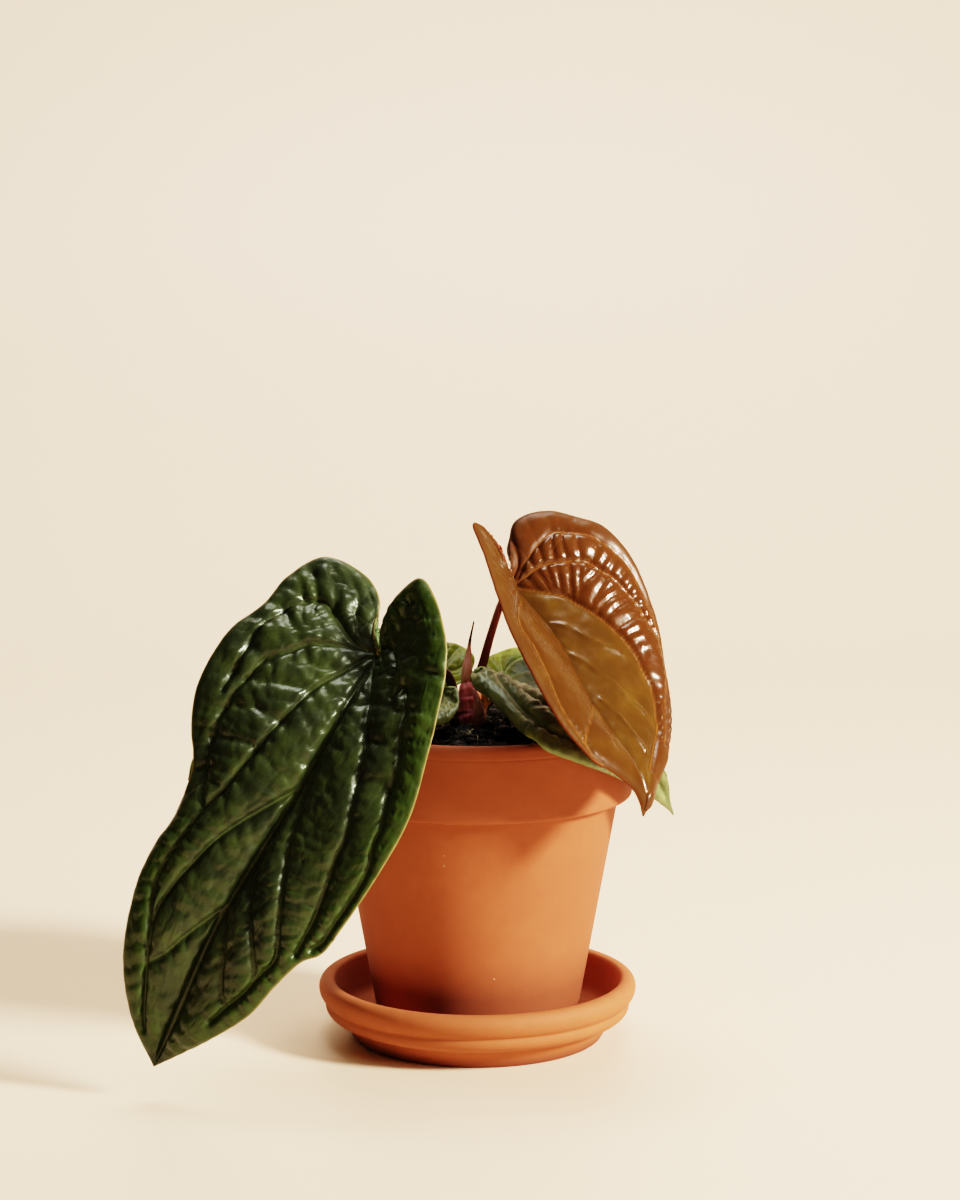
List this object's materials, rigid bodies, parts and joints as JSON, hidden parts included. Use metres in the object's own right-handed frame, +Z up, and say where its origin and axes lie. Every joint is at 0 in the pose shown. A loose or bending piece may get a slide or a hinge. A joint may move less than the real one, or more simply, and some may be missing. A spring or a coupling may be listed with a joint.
{
  "type": "potted anthurium hybrid",
  "caption": "Young heart-leaved anthurium in a tapered terracotta pot on a round saucer, with a large green leaf hanging over the rim and a new bronze leaf.",
  "frame": {"origin": "middle of the saucer's flat underside", "axes": "+Z up the pot's axis; +X towards the bronze leaf; -Y towards the side that the large green leaf hangs over"},
  "size_m": [0.2381, 0.1966, 0.2418],
  "materials": {
    "terracotta_saucer": "matt fired clay",
    "terracotta_pot": "matt fired clay",
    "potting_mix": "damp bark and moss",
    "crown_stem": "satin",
    "cataphyll_pink": "satin",
    "cataphyll_dry": "papery",
    "new_shoot": "satin",
    "petiole_brown": "satin",
    "petiole_red": "satin",
    "blade_mature": "satin, quilted",
    "blade_right": "satin, quilted",
    "blade_left": "satin, quilted",
    "blade_bronze": "glossy, quilted"
  },
  "bodies": {
    "root": {"saucer": "terracotta_saucer", "pot": "terracotta_pot", "potting_mix": "potting_mix", "crown": "crown_stem", "cataphyll_pink": "cataphyll_pink", "cataphyll_dry": "cataphyll_dry", "new_shoot": "new_shoot", "petiole_large_green": "petiole_brown", "petiole_right_low": "petiole_brown", "petiole_left_low": "petiole_brown", "petiole_new_bronze": "petiole_red", "leaf_large_green": "blade_mature", "leaf_right_low": "blade_right", "leaf_left_low": "blade_left", "leaf_new_bronze": "blade_bronze"}
  },
  "joints": []
}
